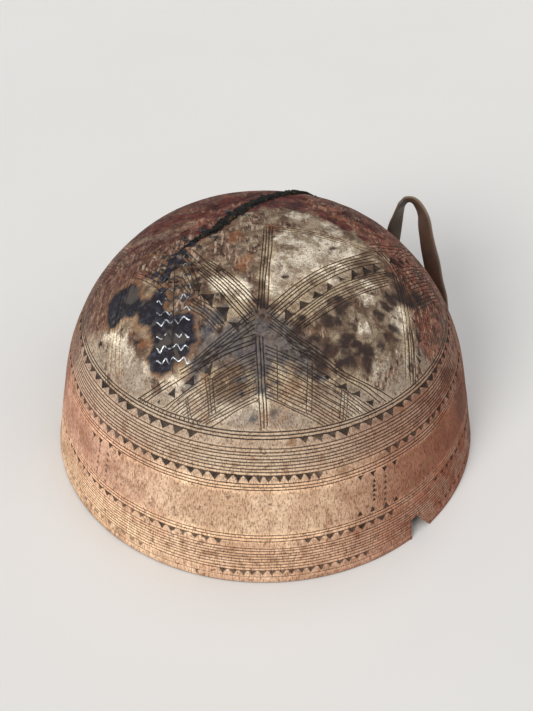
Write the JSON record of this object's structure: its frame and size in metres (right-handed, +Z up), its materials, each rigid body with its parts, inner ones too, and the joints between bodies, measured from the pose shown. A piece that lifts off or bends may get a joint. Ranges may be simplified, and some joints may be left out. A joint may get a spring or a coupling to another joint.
{
  "type": "milk bowl",
  "caption": "Deep round wooden milk bowl standing upside down on its rim, with engraved bands, a pitched and wire-stitched crack and a knotted hide hanging strap.",
  "frame": {"origin": "centre of the rim, on the plane that the bowl stands on", "axes": "+Z up out of the crown, -Y towards the side that the picture sees, +X to the right in it"},
  "size_m": [0.2894, 0.2894, 0.1505],
  "materials": {
    "carved_wood": "hand-carved pale hardwood, worn, smoke-darkened round the crown, with dark-filled engraved lines",
    "pitch": "hardened tree pitch, dull black",
    "stitch_wire": "soft bright wire, bent by hand",
    "strap_hide": "dark dressed hide, stiff with age"
  },
  "bodies": {
    "bowl": {"bowl": "carved_wood", "crack_pitch": "pitch", "stitch_01": "stitch_wire", "stitch_02": "stitch_wire", "stitch_03": "stitch_wire", "stitch_04": "stitch_wire", "stitch_05": "stitch_wire", "stitch_06": "stitch_wire", "stitch_07": "stitch_wire", "stitch_08": "stitch_wire", "stitch_09": "stitch_wire", "stitch_10": "stitch_wire", "stitch_11": "stitch_wire", "stitch_12": "stitch_wire", "stitch_13": "stitch_wire", "strap_end_left": "strap_hide", "strap_end_right": "strap_hide"},
    "strap": {"strap_loop": "strap_hide"}
  },
  "joints": [
    {"name": "strap_swing", "type": "hinge", "parent": "bowl", "child": "strap", "pos_m": [0.11355, 0.08557, 0.022], "axis": [-0.6018, 0.7986, 0], "range_deg": [-16, 95]}
  ]
}
